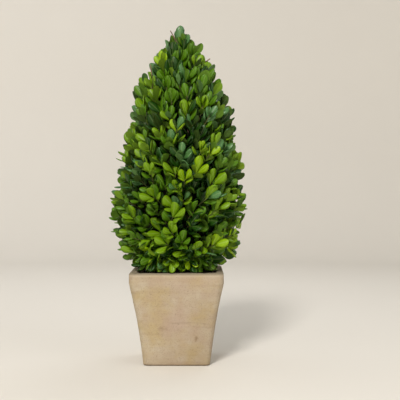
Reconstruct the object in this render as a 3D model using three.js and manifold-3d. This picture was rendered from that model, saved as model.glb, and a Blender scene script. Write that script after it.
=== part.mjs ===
// A clipped boxwood cone in a square tapered planter.
// Millimetres, +Z up. The origin is the middle of the planter's flat underside,
// and the planter's four sides face along X and Y.
import * as THREE from "three";
import { mergeVertices } from "three/addons/utils/BufferGeometryUtils.js";
import Module from "manifold-3d";

// Driving dimensions
const TOTAL_HEIGHT = 560;
const FIT_GAP = 0.3; // between two separate pieces that touch
const SEED = 23; // of the random draws that the plant grows by

const PLANTER = {
  height: 152,
  topWidth: 152,
  baseWidth: 108,
  rimBand: 17, // the upright band under the rim, above the taper
  bow: 2, // how far the tapered sides bend in halfway down
  wall: 12,
  floor: 14,
  cornerRadius: 11, // of the upright corners, at the rim
  rimRound: 3,
  baseBevel: 1.6,
};

const SOIL = {
  drop: 13, // from the rim down to the middle of the soil
  dome: 3, // how much higher its middle stands than its edge
  slope: 16, // how far in from the edge it climbs steeply, and then gently
  gentleSlope: 34,
  gentleShare: 0.3, // the share of the dome that the gentle slope climbs
};

const STEM = {
  height: 104,
  footRadius: 11,
  tipRadius: 6,
  flare: 0.55, // how much wider the root flare is at the soil, as a share of the foot
  flareHeight: 5,
  lean: 3, // sideways, from foot to tip
  roomAround: 1.8, // how many foot radii of space the leaves leave it
};

const CROWN = {
  bottom: 157,
  bottomRadius: 60,
  widestHeight: 240,
  widestRadius: 106,
  shoulder: 2.4, // the two exponents of the curve from the widest place to the tip
  tipCurve: 0.8,
  closingHeight: 564, // where the curve would meet the axis, just past the blunt tip
  lean: 4, // sideways, at the tip
  foliageDepth: 24, // from the clipped outline in to the core
  coreBottom: 146, // the core's foot stands in the planter's mouth, over the soil
  coreFootRadius: 52, // the core is no narrower than this under the widest place
  strayTip: 6, // how far a leaf may stand past the clipped outline
  overRim: 1.5, // how far above the planter's rim the lowest leaf stays
};

const SPRIG = {
  count: 124,
  lift: 0.9, // how much a sprig turns up from square to the outline
  bottomLift: 0.5, // the same at the bottom edge, where the sprigs stand level
  liftHeight: 60, // the height over which the one becomes the other
  wander: 0.16, // how much its direction strays, in radians
  deepest: 11, // how far inside the outline its topmost leaves may end
  length: 22,
  radius: 1.5,
  tipShare: 0.6, // the tip's radius, as a share of the root's
  tipGap: 0.4, // between the topmost pair of leaves and the twig's end
  pairGap: 8, // between one pair and the next
  pairs: 3,
  spread: 0.74, // the angle between the topmost leaves and their twig, in radians
  openPerPair: 0.2, // how much wider each lower pair stands
};

// The one upright sprig at the top, whose leaves end at the full height
const LEADER = {
  ...SPRIG,
  wander: 0.05,
  spread: 0.2,
};

const LEAF = {
  length: 32,
  width: 19.5,
  widestAt: 0.62, // as a share of its length, from the stalk
  thickness: 1.6,
  sizeSpread: 0.16,
  skyward: 0.3, // how much the light comes from above, against from the side
};

// A ring of level sprigs round the bottom edge, whose leaves lie over the planter's rim
const SKIRT = {
  count: 20,
  radius: 82,
  height: 163,
  fall: 0.12, // how much the sprigs turn down from level
};

const COLOURS = {
  planter: "#c0a780",
  soil: "#3b2e22",
  stem: "#6b5640",
  crown: "#4f7c1b",
};

const UP = new THREE.Vector3(0, 0, 1);
const GOLDEN_ANGLE = Math.PI * (3 - Math.sqrt(5));

// A seeded generator of numbers from 0 to 1, so that the plant grows the same way each time.
function seeded(seed) {
  let state = seed;
  return () => {
    state = (state + 0x6d2b79f5) | 0;
    let t = Math.imul(state ^ (state >>> 15), 1 | state);
    t = (t + Math.imul(t ^ (t >>> 7), 61 | t)) ^ t;
    return ((t ^ (t >>> 14)) >>> 0) / 4294967296;
  };
}

const wasm = await Module();
wasm.setup();

// A closed geometry as a solid that can be joined and cut.
function solidOf(geometry) {
  const bare = geometry.clone();
  bare.deleteAttribute("normal");
  bare.deleteAttribute("uv");
  const merged = mergeVertices(bare, 1e-4);
  return new wasm.Manifold(
    new wasm.Mesh({
      numProp: 3,
      vertProperties: merged.getAttribute("position").array,
      triVerts: new Uint32Array(merged.index.array),
    }),
  );
}

// A solid's surface as a geometry with flat faces.
function geometryOf(solid) {
  const mesh = solid.getMesh();
  const geometry = new THREE.BufferGeometry();
  geometry.setAttribute("position", new THREE.Float32BufferAttribute(mesh.vertProperties, 3));
  geometry.setIndex([...mesh.triVerts]);
  const flat = geometry.toNonIndexed();
  flat.computeVertexNormals();
  return flat;
}

// A closed skin over a stack of rings of points, with a fan of faces over each end.
// The rings hold the same number of points each and run counter-clockwise seen from above.
function loft(rings) {
  const around = rings[0].length;
  const points = rings.flat();
  const faces = [];
  for (let level = 0; level < rings.length - 1; level++) {
    for (let i = 0; i < around; i++) {
      const a = level * around + i;
      const b = level * around + ((i + 1) % around);
      faces.push(a, b, b + around);
      faces.push(a, b + around, a + around);
    }
  }
  const last = (rings.length - 1) * around;
  const bottom = points.push(middleOf(rings[0])) - 1;
  const top = points.push(middleOf(rings[rings.length - 1])) - 1;
  for (let i = 0; i < around; i++) {
    const next = (i + 1) % around;
    faces.push(bottom, next, i);
    faces.push(top, last + i, last + next);
  }
  const geometry = new THREE.BufferGeometry().setFromPoints(points);
  geometry.setIndex(faces);
  return geometry;
}

function middleOf(ring) {
  const sum = new THREE.Vector3();
  for (const point of ring) sum.add(point);
  return sum.divideScalar(ring.length);
}

// The points of a square with round corners, level at height z.
function roundedSquare(width, cornerRadius, z) {
  const stepsPerCorner = 5;
  const reach = width / 2 - cornerRadius;
  const points = [];
  for (let corner = 0; corner < 4; corner++) {
    const start = (corner * Math.PI) / 2;
    const middleX = reach * Math.sign(Math.cos(start + Math.PI / 4));
    const middleY = reach * Math.sign(Math.sin(start + Math.PI / 4));
    for (let step = 0; step <= stepsPerCorner; step++) {
      const angle = start + ((step / stepsPerCorner) * Math.PI) / 2;
      const x = middleX + cornerRadius * Math.cos(angle);
      const y = middleY + cornerRadius * Math.sin(angle);
      points.push(new THREE.Vector3(x, y, z));
    }
  }
  return points;
}

// The planter's outer width at height z: upright under the rim, then tapering to the base in a slight bow.
function planterWidth(z) {
  const share = Math.min(1, z / (PLANTER.height - PLANTER.rimBand));
  const straight = THREE.MathUtils.lerp(PLANTER.baseWidth, PLANTER.topWidth, share);
  return straight - 2 * PLANTER.bow * Math.sin(Math.PI * share);
}

// Rings at the given heights, each drawn in from the planter's outer face by an inset.
function planterRings(levels) {
  const cornerShare = PLANTER.cornerRadius / PLANTER.topWidth;
  return levels.map(([z, inset]) => {
    const width = planterWidth(z) - 2 * inset;
    return roundedSquare(width, width * cornerShare, z);
  });
}

// Heights spaced evenly over the taper, from one height up to the foot of the rim band.
function taperHeights(from, steps) {
  const top = PLANTER.height - PLANTER.rimBand;
  return Array.from({ length: steps + 1 }, (_, i) => THREE.MathUtils.lerp(from, top, i / steps));
}

// The rounded edge of the rim as heights and insets, from the upright face to the top face.
function rimLevels(baseInset, side) {
  const { height, rimRound } = PLANTER;
  const steps = 3;
  const levels = [];
  for (let step = 0; step <= steps; step++) {
    const angle = ((step / steps) * Math.PI) / 2;
    const z = height - rimRound * (1 - Math.sin(angle));
    levels.push([z, baseInset + side * rimRound * (1 - Math.cos(angle))]);
  }
  return levels;
}

// The planter: its outer form, less a hollow that runs on past the rim.
function makePlanter() {
  const { baseBevel, wall, floor, height, rimRound } = PLANTER;
  const outer = [[0, baseBevel], ...taperHeights(baseBevel, 5).map((z) => [z, 0]), ...rimLevels(0, 1)];
  const hollow = [...taperHeights(floor, 4).map((z) => [z, wall]), ...rimLevels(wall, -1)];
  hollow.push([height + rimRound, wall - rimRound]);
  return solidOf(loft(planterRings(outer))).subtract(solidOf(loft(planterRings(hollow))));
}

// The soil: it fills the planter up to a low dome under the rim.
function makeSoil() {
  const { height, wall, floor } = PLANTER;
  const inset = wall + FIT_GAP;
  const top = height - SOIL.drop;
  const levels = taperHeights(floor + FIT_GAP, 4).map((z) => [z, inset]);
  levels.push([top - SOIL.dome, inset]);
  levels.push([top - SOIL.dome * SOIL.gentleShare, inset + SOIL.slope]);
  levels.push([top, inset + SOIL.gentleSlope]);
  return solidOf(loft(planterRings(levels)));
}

// The stem's middle and radius at a share of its height, from the flat cut at its foot to its tip.
function stemAt(share) {
  const rise = share * STEM.height;
  const flare = 1 + STEM.flare * Math.exp(-rise / STEM.flareHeight);
  const foot = PLANTER.height - SOIL.drop + FIT_GAP;
  return {
    middle: new THREE.Vector3(STEM.lean * share ** 2, 0, foot + rise),
    radius: THREE.MathUtils.lerp(STEM.footRadius, STEM.tipRadius, share) * flare,
  };
}

// The stem as a solid, or, with a clearance, the bore that it stands in. Its rings lie closer at the flare.
function stemForm(clearance) {
  const steps = 9;
  const sides = 16;
  const closerAtFoot = 1.6;
  const rings = [];
  for (let step = 0; step <= steps; step++) {
    const { middle, radius } = stemAt((step / steps) ** closerAtFoot);
    const ring = [];
    for (let side = 0; side < sides; side++) {
      const angle = (side / sides) * 2 * Math.PI;
      const out = new THREE.Vector3(Math.cos(angle), Math.sin(angle), 0);
      ring.push(middle.clone().addScaledVector(out, radius + clearance));
    }
    rings.push(ring);
  }
  for (const point of rings[steps]) point.z += clearance;
  return solidOf(loft(rings));
}

// The radius of the clipped outline at height z: a quarter ellipse from the bottom edge to the widest place,
// and above it a power curve that closes at the tip.
function outlineRadius(z) {
  const { bottom, bottomRadius, widestHeight, widestRadius } = CROWN;
  if (z < widestHeight) {
    const down = Math.min(1, (widestHeight - z) / (widestHeight - bottom));
    return bottomRadius + (widestRadius - bottomRadius) * Math.sqrt(1 - down ** 2);
  }
  const rise = Math.min(1, (z - widestHeight) / (CROWN.closingHeight - widestHeight));
  return widestRadius * (1 - rise ** CROWN.shoulder) ** CROWN.tipCurve;
}

// The outline as radius and height, for a share from 0 at its bottom edge to 1 at the tip.
function outlineAt(share) {
  const eased = (1 - Math.cos(Math.PI * share)) / 2;
  const z = THREE.MathUtils.lerp(CROWN.bottom, TOTAL_HEIGHT, eased);
  return new THREE.Vector2(outlineRadius(z), z);
}

// The outward direction of the outline there, as radius and height.
function outwardAt(share) {
  const step = 0.01;
  const along = outlineAt(Math.min(1, share + step)).sub(outlineAt(Math.max(0, share - step)));
  return new THREE.Vector2(along.y, -along.x).normalize();
}

// How far the crown's middle lies to the side of the axis at height z.
function leanAt(z) {
  return CROWN.lean * THREE.MathUtils.smoothstep(z, CROWN.bottom, TOTAL_HEIGHT);
}

// The core: the outline drawn in by the depth of the foliage, turned round the axis.
function makeCore() {
  const steps = 14;
  const sides = 18;
  const rings = [];
  for (let step = 0; step <= steps; step++) {
    const share = step / steps;
    const z = THREE.MathUtils.lerp(CROWN.coreBottom, TOTAL_HEIGHT, share);
    const foot = z < CROWN.widestHeight ? CROWN.coreFootRadius : 0;
    const radius = Math.max(foot, outlineRadius(z) - CROWN.foliageDepth);
    if (radius < 2) break;
    const ring = [];
    for (let side = 0; side < sides; side++) {
      const angle = (side / sides) * 2 * Math.PI;
      const x = leanAt(z) + radius * Math.cos(angle);
      ring.push(new THREE.Vector3(x, radius * Math.sin(angle), z));
    }
    rings.push(ring);
  }
  return solidOf(loft(rings));
}

// Shares of the outline that part it into bands of equal area, one for each sprig.
function evenShares(count) {
  const samples = 600;
  const areas = [0];
  for (let i = 1; i <= samples; i++) {
    const a = outlineAt((i - 1) / samples);
    const b = outlineAt(i / samples);
    areas.push(areas[i - 1] + ((a.x + b.x) / 2) * a.distanceTo(b));
  }
  const shares = [];
  let i = 0;
  for (let n = 0; n < count; n++) {
    const wanted = ((n + 0.5) / count) * areas[samples];
    while (areas[i + 1] < wanted) i++;
    shares.push((i + (wanted - areas[i]) / (areas[i + 1] - areas[i])) / samples);
  }
  return shares;
}

// A leaf from the origin along +Y, its upper side towards +Z: four edges round a thicker middle.
function leafBlade(length, width) {
  const widest = LEAF.widestAt * length;
  const half = LEAF.thickness / 2;
  const points = [
    new THREE.Vector3(0, 0, 0),
    new THREE.Vector3(width / 2, widest, 0),
    new THREE.Vector3(0, length, 0),
    new THREE.Vector3(-width / 2, widest, 0),
    new THREE.Vector3(0, widest, half),
    new THREE.Vector3(0, widest, -half),
  ];
  const [above, below] = [4, 5];
  const faces = [];
  for (let i = 0; i < 4; i++) {
    const next = (i + 1) % 4;
    faces.push(above, i, next);
    faces.push(below, next, i);
  }
  const geometry = new THREE.BufferGeometry().setFromPoints(points);
  geometry.setIndex(faces);
  return geometry;
}

// A three-sided twig from the origin along +Y.
function twigBlade(length) {
  const twig = new THREE.CylinderGeometry(SPRIG.radius * SPRIG.tipShare, SPRIG.radius, length, 3);
  return twig.translate(0, length / 2, 0);
}

// The geometry moved to a place, its +Y turned to a direction and its +Z as near as it can be to a facing.
function placed(geometry, place, direction, facing) {
  const across = new THREE.Vector3().crossVectors(direction, facing).normalize();
  const normal = new THREE.Vector3().crossVectors(across, direction);
  return geometry.applyMatrix4(new THREE.Matrix4().makeBasis(across, direction, normal).setPosition(place));
}

// True if each point of the geometry lies in the crown's own space, above the rim and clear of the stem.
function keepsToSpace(geometry) {
  const position = geometry.getAttribute("position");
  const lowest = PLANTER.height + CROWN.overRim;
  const stemTop = PLANTER.height - SOIL.drop + STEM.height;
  const point = new THREE.Vector3();
  for (let i = 0; i < position.count; i++) {
    point.fromBufferAttribute(position, i);
    if (point.z < lowest || point.z > TOTAL_HEIGHT) return false;
    const fromMiddle = Math.hypot(point.x - leanAt(point.z), point.y);
    if (fromMiddle > outlineRadius(point.z) + CROWN.strayTip) return false;
    if (point.z < stemTop && fromMiddle < STEM.footRadius * STEM.roomAround) return false;
  }
  return true;
}

// One sprig: a twig that stands out of the core, with opposite pairs of leaves, each pair square to the last.
// Its tip is set back so that the leaves of its topmost pair end at the given place. The leaves turn on their
// stalks, so that their upper sides face the light.
function growSprig(end, direction, light, habit, random) {
  const stray = () => (random() - 0.5) * 2;
  const size = 1 + LEAF.sizeSpread * stray();
  const length = LEAF.length * size;
  const tip = end.clone().addScaledVector(direction, -Math.cos(habit.spread) * length);
  const root = tip.clone().addScaledVector(direction, -habit.length);
  const side = new THREE.Vector3(direction.z, direction.x, direction.y).cross(direction).normalize();
  const twig = placed(twigBlade(habit.length), root, direction, side);
  const leaves = [];
  const firstTurn = random() * Math.PI;
  for (let pair = 0; pair < habit.pairs; pair++) {
    const node = tip.clone().addScaledVector(direction, -pair * habit.pairGap - habit.tipGap);
    for (const turn of [0, Math.PI]) {
      const off = side.clone().applyAxisAngle(direction, firstTurn + (pair * Math.PI) / 2 + turn);
      const open = habit.spread + habit.openPerPair * pair + habit.wander * stray();
      const along = direction.clone().multiplyScalar(Math.cos(open)).addScaledVector(off, Math.sin(open));
      const leaf = placed(leafBlade(length, LEAF.width * size), node, along, light);
      if (keepsToSpace(leaf)) leaves.push(leaf);
    }
  }
  return { twig, leaves };
}

// A sprig at a share of the outline, on the side that a turn gives.
function flankSprig(share, turn, random) {
  const stray = () => SPRIG.wander * (random() - 0.5) * 2;
  const around = new THREE.Vector3(Math.cos(turn), Math.sin(turn), 0);
  const sideways = new THREE.Vector3(-Math.sin(turn), Math.cos(turn), 0);
  const outline = outlineAt(share);
  const outward = outwardAt(share);
  outline.addScaledVector(outward, -SPRIG.deepest * random());
  const end = around.clone().multiplyScalar(outline.x);
  end.x += leanAt(outline.y);
  end.z = outline.y;
  const risen = THREE.MathUtils.smoothstep(outline.y, CROWN.bottom, CROWN.bottom + SPRIG.liftHeight);
  const lift = THREE.MathUtils.lerp(SPRIG.bottomLift, SPRIG.lift, risen);
  const direction = around.clone().multiplyScalar(outward.x);
  direction.addScaledVector(UP, outward.y + lift + stray());
  direction.addScaledVector(sideways, stray()).normalize();
  const light = around.addScaledVector(UP, LEAF.skyward).add(direction).normalize();
  return growSprig(end, direction, light, SPRIG, random);
}

function skirtSprig(turn, random) {
  const around = new THREE.Vector3(Math.cos(turn), Math.sin(turn), 0);
  const end = around.clone().multiplyScalar(SKIRT.radius);
  end.z = SKIRT.height;
  const direction = around.addScaledVector(UP, -SKIRT.fall).normalize();
  return growSprig(end, direction, UP, SPRIG, random);
}

function leaderSprig(random) {
  const end = new THREE.Vector3(CROWN.lean, 0, TOTAL_HEIGHT);
  return growSprig(end, UP, UP, LEADER, random);
}

// All sprigs: the leader, the ring at the bottom, and one at each share of the outline, a golden angle
// further round each time.
function growSprigs(random) {
  const sprigs = [leaderSprig(random)];
  for (let n = 0; n < SKIRT.count; n++) {
    sprigs.push(skirtSprig((n / SKIRT.count) * 2 * Math.PI, random));
  }
  evenShares(SPRIG.count).forEach((share, n) => {
    sprigs.push(flankSprig(share, n * GOLDEN_ANGLE, random));
  });
  return sprigs.filter(({ twig }) => keepsToSpace(twig));
}

function leafSolid(geometry) {
  geometry.computeBoundingBox();
  return { box: geometry.boundingBox, solid: solidOf(geometry) };
}

function cross(leaf, other) {
  return leaf.box.intersectsBox(other.box) && !leaf.solid.intersect(other.solid).isEmpty();
}

// The crown: core and sprigs as one solid, bored for the stem. A leaf that would cross a leaf of another
// sprig is left out, and scraps that the join leaves loose are dropped.
function makeCrown() {
  const parts = [makeCore()];
  const leaves = [];
  for (const sprig of growSprigs(seeded(SEED))) {
    const fresh = sprig.leaves.map(leafSolid).filter((leaf) => !leaves.some((other) => cross(leaf, other)));
    parts.push(solidOf(sprig.twig), ...fresh.map((leaf) => leaf.solid));
    leaves.push(...fresh);
  }
  const bodies = wasm.Manifold.union(parts).subtract(stemForm(FIT_GAP)).decompose();
  bodies.sort((a, b) => b.volume() - a.volume());
  return bodies[0];
}

function subPart(name, solid, colour, roughness) {
  const material = new THREE.MeshStandardMaterial({ color: colour, roughness, metalness: 0 });
  const mesh = new THREE.Mesh(geometryOf(solid), material);
  mesh.name = name;
  return mesh;
}

const topiary = new THREE.Group();
topiary.add(subPart("planter", makePlanter(), COLOURS.planter, 0.85));
topiary.add(subPart("soil", makeSoil(), COLOURS.soil, 0.95));
topiary.add(subPart("stem", stemForm(0), COLOURS.stem, 0.8));
topiary.add(subPart("crown", makeCrown(), COLOURS.crown, 0.5));

export default topiary;
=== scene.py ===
"""A clipped boxwood cone in a square tapered planter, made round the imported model.

Metres, +Z up. The origin is the middle of the planter's flat underside.
"""

import math

import bpy
import numpy as np
from bpy.props import FloatProperty, FloatVectorProperty, IntProperty, PointerProperty
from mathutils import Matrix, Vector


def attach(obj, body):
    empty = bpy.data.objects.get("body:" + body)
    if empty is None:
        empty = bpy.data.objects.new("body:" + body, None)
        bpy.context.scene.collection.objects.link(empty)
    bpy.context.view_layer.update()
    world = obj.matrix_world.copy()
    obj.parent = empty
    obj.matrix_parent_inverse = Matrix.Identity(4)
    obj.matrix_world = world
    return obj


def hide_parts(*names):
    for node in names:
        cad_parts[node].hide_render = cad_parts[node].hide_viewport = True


bl_info = {
    "name": "Clipped boxwood cone",
    "version": (1, 0, 0),
    "blender": (4, 5, 0),
    "location": "3D View > Sidebar > Topiary",
    "description": "Makes a clipped boxwood cone in a square cast-stone planter",
    "category": "Object",
}

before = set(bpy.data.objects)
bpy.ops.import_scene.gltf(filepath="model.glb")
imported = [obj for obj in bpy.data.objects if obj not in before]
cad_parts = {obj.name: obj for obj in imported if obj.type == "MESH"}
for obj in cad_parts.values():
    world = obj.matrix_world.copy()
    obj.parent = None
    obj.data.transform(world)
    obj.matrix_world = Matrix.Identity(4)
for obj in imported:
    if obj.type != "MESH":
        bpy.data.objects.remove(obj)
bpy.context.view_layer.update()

GOLDEN_ANGLE = math.pi * (3 - math.sqrt(5))
UP = np.array([0.0, 0.0, 1.0])
MM = 0.001
FIT_GAP = 0.3 * MM  # between two separate pieces that touch
TINTS = ("young", "fresh", "middle", "deep", "blue")
MIX_A, MIX_B, MIX_RESULT = 6, 7, 2  # the colour sockets of a Mix node
# Where the shears left the crown fuller, or cut it closer: degrees round from +X towards +Y,
# height and how far out, in millimetres
SWELLS = (
    ((0, 168, 13), (0, 208, -6), (0, 247, 13), (0, 295, 4), (0, 334, 10), (0, 500, -6))
    + ((180, 182, 7), (180, 242, 10), (180, 275, 3), (180, 410, -11), (180, 500, -9))
    + ((-60, 205, 5), (120, 300, 6), (70, 230, 7), (-120, 350, 5))
)
SWELL_REACH = 0.022  # over which a swell dies away up and down
SWELL_FOCUS = 5  # how narrow a swell is round the axis
SCUFF = (-0.022, -0.066, 0.062)  # the middle of a rough patch low on the front
BOUGH_RADIUS = 2.2 * MM  # of a limb inside the crown, where it leaves the stem
BEHIND_SHADE = 0.004  # how far inside the shade's skin a leaf is past seeing
OVER_TIP = 6 * MM  # how far the leader's leaves may pass the full height
SKIRT_ENDS = (0.1550, 0.1590)  # heights at which the skirt's lowest row of shoots ends
SKIRT_ROW = 0.0065  # from one row of the skirt to the next
WIDEST_OPENING = 1.35  # the most that a leaf stands off its twig, in radians
SEEDS = {"pits": 41, "shoots": 37, "leaves": 57}


# Settings


def linear(code):
    """The linear red, green and blue of an sRGB hex code such as '#C4AA84'."""
    parts = [int(code[i : i + 2], 16) / 255 for i in (1, 3, 5)]
    return tuple(p / 12.92 if p <= 0.04045 else ((p + 0.055) / 1.055) ** 2.4 for p in parts)


# The kinds of setting. Each is given its name, its default and its description
def distance(name, millimetres, description):
    look = {"subtype": "DISTANCE", "unit": "LENGTH", "precision": 4}
    return FloatProperty(name=name, description=description, default=millimetres * MM, **look)


def factor(name, value, description):
    return FloatProperty(name=name, description=description, default=value, precision=3)


def angle(name, radians, description):
    look = {"subtype": "ANGLE", "unit": "ROTATION"}
    return FloatProperty(name=name, description=description, default=radians, **look)


def colour(name, code, description):
    look = {"subtype": "COLOR", "size": 3, "min": 0, "max": 1}
    return FloatVectorProperty(name=name, description=description, default=linear(code), **look)


def whole(name, value, description):
    return IntProperty(name=name, description=description, default=value)


class PlanterSettings(bpy.types.PropertyGroup):
    height: distance("Height", 152, "From the underside to the rim")
    top_width: distance("Top width", 152, "Across the rim")
    base_width: distance("Base width", 108, "Across the foot")
    rim_band: distance("Rim band", 17, "Height of the upright band under the rim")
    bow: distance("Bow", 2, "How far the tapered sides bend in halfway down")
    wall: distance("Wall", 12, "Thickness of the sides")
    floor: distance("Floor", 14, "Thickness of the bottom")
    corner_radius: distance("Corner radius", 11, "Of the upright corners, at the rim")
    mouth_corner: distance("Mouth corner", 20, "Radius of the corners inside the mouth")
    rim_round: distance("Rim round", 3, "Radius of the rim's edges")
    base_bevel: distance("Base bevel", 1.6, "Of the edge that it stands on")
    unevenness: distance("Unevenness", 0.45, "How far the hand-finished faces wander")
    wear: distance("Wear", 1.5, "How deep the edges are chipped")
    pits: whole("Pits", 150, "Air pits in the outer faces")
    scuff_pits: whole("Scuff pits", 26, "Air pits in the scuffed patch on the front")
    sand: colour("Sand", "#AA9B85", "The cast stone's own colour")
    # The pale tone also paints a highlight along the rim's edge
    pale: colour("Pale", "#B5AA95", "Lime bloom on the stone")
    ochre: colour("Ochre", "#A8956C", "Iron stains in the stone")
    rosy: colour("Rosy", "#A59180", "Clouds of rosy sand")
    # The grey is partly weathered stone and partly painted shade of the leaves over the rim
    grey: colour("Grey", "#7F7562", "Weathered stone on the rim")
    # The stain tone also darkens the foot, and paints shade low down on the side away from the key
    # light
    stain: colour("Stain", "#7E6A50", "Tannin that has run out of the soil")
    # The pore tone also paints a contact shadow along the foot
    pore_and_contact_shadow: colour("Pore", "#6A5A44", "The bottoms of the air pores")


class SoilSettings(bpy.types.PropertyGroup):
    drop: distance("Drop", 13, "From the rim down to the middle of the soil")
    dome: distance("Dome", 3, "How much higher the middle stands than the edge")
    slope: distance("Slope", 16, "How far in from the edge it climbs steeply")
    gentle_slope: distance("Gentle slope", 34, "How far in from the edge it has climbed")
    gentle_share: factor("Gentle share", 0.3, "Share of the dome that the gentle slope climbs")
    crumb: distance("Crumb", 5, "Size of the larger crumbs")
    peat: colour("Peat", "#2E231A", "Moist peat")
    bark: colour("Bark", "#6B513A", "Composted bark among the peat")


class StemSettings(bpy.types.PropertyGroup):
    height: distance("Height", 104, "From the soil to where it enters the crown")
    foot_radius: distance("Foot radius", 11, "At the soil, without the root flare")
    tip_radius: distance("Tip radius", 6, "At its upper end")
    flare: factor("Flare", 0.55, "How much wider the root flare is, as a share of the foot")
    flare_height: distance("Flare height", 5, "Height over which the flare dies away")
    lean: distance("Lean", 3, "Sideways, from foot to tip")
    fissure: distance("Fissure", 0.9, "Depth of the cracks in the bark")
    ridge: colour("Ridge", "#8C7556", "The corky ridges of the bark")
    crack: colour("Crack", "#43352A", "The cracks between them")
    shoot: colour("Shoot", "#47541F", "The green skin of young twigs")


class CrownSettings(bpy.types.PropertyGroup):
    total_height: distance("Total height", 560, "From the planter's underside to the tip")
    bottom: distance("Bottom", 157, "Height of the bottom edge")
    bottom_radius: distance("Bottom radius", 60, "At the bottom edge")
    widest_height: distance("Widest height", 240, "Where it is widest")
    widest_radius: distance("Widest radius", 106, "How wide it is there")
    shoulder: factor("Shoulder", 2.4, "First exponent of the curve up to the tip")
    tip_curve: factor("Tip curve", 0.8, "Second exponent of that curve")
    closing_height: distance("Closing height", 564, "Where that curve would meet the axis")
    lean: distance("Lean", 4, "Sideways, at the tip")
    side_bulge: distance("Side bulge", 4.5, "How far the shears left it fuller on the right")
    bulge_height: distance("Bulge height", 410, "Where that is")
    stray: distance("Stray", 10, "How far a leaf may stand past the clipped outline")
    furthest: distance("Furthest", 124, "How far from the axis any leaf may reach")
    skirt_radius: distance("Skirt radius", 76, "How far the lowest leaves reach over the rim")
    skirt_corner: factor("Skirt corner", 0.16, "How much further they reach at its corners")
    skirt_height: distance("Skirt height", 18, "How high above the rim they still do")
    over_rim: distance("Over rim", 0.6, "How far above the rim the lowest leaf stays")
    shade_depth: distance("Shade depth", 40, "From the outline in to the massed inner shade")
    # The shade tones are painted shade: the near black of massed leaves and twigs that the light
    # doesn't reach
    shade: colour("Shade", "#10190C", "Massed leaves deep in the crown")
    shade_brown: colour("Shade brown", "#1C1A10", "Twigs deep in the crown")


class FoliageSettings(bpy.types.PropertyGroup):
    flank_count: whole("Flank shoots", 300, "Shoots over the cone")
    skirt_count: whole("Skirt shoots", 60, "Along the bottom edge")
    bough_count: whole("Boughs", 46, "Limbs inside the crown")
    pairs: whole("Pairs", 6, "Pairs of leaves on a shoot")
    fine_pairs: whole("Fine pairs", 4, "How many of them, from the tip down, are made finely")
    pair_gap: distance("Pair gap", 7.5, "From one pair to the next")
    leaf_length: distance("Leaf length", 31, "With its stalk")
    leaf_width: distance("Leaf width", 16.5, "At its widest")
    leaf_thickness: distance("Leaf thickness", 0.4, "At the midrib")
    low_size: factor("Low size", 0.87, "Size of the lowest leaves against the topmost")
    size_spread: factor("Size spread", 0.22, "How much the leaves' sizes vary")
    spread: angle("Spread", 0.44, "Between the topmost leaves and their twig")
    tip_spread: angle("Tip spread", 0.26, "The same near the crown's tip")
    open_per_pair: angle("Open per pair", 0.05, "How much wider each lower pair stands")
    wander: factor("Wander", 0.26, "How much a shoot's direction strays")
    bottom_lift: factor("Bottom lift", 0.12, "How much the lowest shoots turn up from square")
    droop: factor("Droop", 0.35, "How steeply a shoot may point down")
    lift: factor("Lift", 0.55, "How much the flank's shoots turn up from square")
    tip_lift: factor("Tip lift", 1.35, "How much more those near the tip do")
    lift_height: distance("Lift height", 90, "Over which the bottom lift becomes the lift")
    skyward: factor("Skyward", 0.4, "How much the light comes from above")
    proud: distance("Proud", 8, "How far past the outline a shoot may end")
    tuft: distance("Tuft", 5, "How far the outline swells and sinks from tuft to tuft")
    deepest: distance("Deepest", 25, "How far further in it may end")
    twig_radius: distance("Twig radius", 0.9, "Of a shoot's twig")
    ages: FloatVectorProperty(
        name="Ages",
        description="Ages, from 0 to 1.4, at which a shoot turns from young to fresh, middle, deep",
        default=(0.26, 0.6, 1.0),
        size=3,
    )
    young: colour("Young leaf", "#7A9B09", "This spring's soft leaves")
    fresh: colour("Fresh leaf", "#63860A", "Leaves half hardened")
    middle: colour("Middle leaf", "#466D09", "Full-grown leaves")
    blue: colour("Blue leaf", "#426C38", "Full-grown leaves with a waxy bloom")
    # The deep tint also paints the shade on the lower pairs, deep in the crown
    deep: colour("Deep leaf", "#193B05", "Last year's leaves")


class StageSettings(bpy.types.PropertyGroup):
    camera_side: distance("Camera side", 37.9, "To the right of the planter's middle")
    camera_back: distance("Camera back", 1288, "In front of the planter's middle")
    camera_height: distance("Camera height", 276.7, "Above the floor")
    camera_pitch: angle("Camera pitch", math.radians(0.375), "Downwards from level")
    lens: factor("Lens", 68.76, "Focal length in millimetres on a 36 mm sensor")
    floor_radius: distance("Floor radius", 1900, "Of the flat floor")
    sweep_radius: distance("Sweep radius", 900, "Of the curve from floor to wall")
    wall_height: distance("Wall height", 2600, "Top of the surrounding wall")
    wall: colour("Wall", "#DDDAD3", "The pale matt floor and wall")
    mottle: colour("Mottle", "#C8BFB2", "Their faint mottle")
    key: factor("Key light", 82.0, "Power of the main softbox in watts")
    fill: factor("Fill light", 5.0, "Power of the weak softbox on the right in watts")
    rim: factor("Top light", 6.0, "Power of the softbox above and behind in watts")
    wash: factor("Wall light", 12.0, "Power of the softbox on the wall behind, in watts")
    sky: factor("Sky", 0.31, "Strength of the light from all round")


# Arrays


def unit(vectors):
    """The vectors, each divided by its length."""
    return vectors / np.linalg.norm(vectors, axis=-1, keepdims=True)


def smoothstep(x, low, high):
    """3t^2 - 2t^3, where t is how far x has gone from low to high, held between 0 and 1."""
    t = np.clip((x - low) / (high - low), 0, 1)
    return t * t * (3 - 2 * t)


def mix(a, b, t):
    """a + t(b - a)."""
    return a + (b - a) * t


def full_turn(count):
    """The angles of count even steps round a circle."""
    return np.arange(count) / count * 2 * math.pi


def spokes(turn):
    """The level unit direction at each angle round the axis."""
    return np.stack([np.cos(turn), np.sin(turn), 0 * turn], -1)


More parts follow.
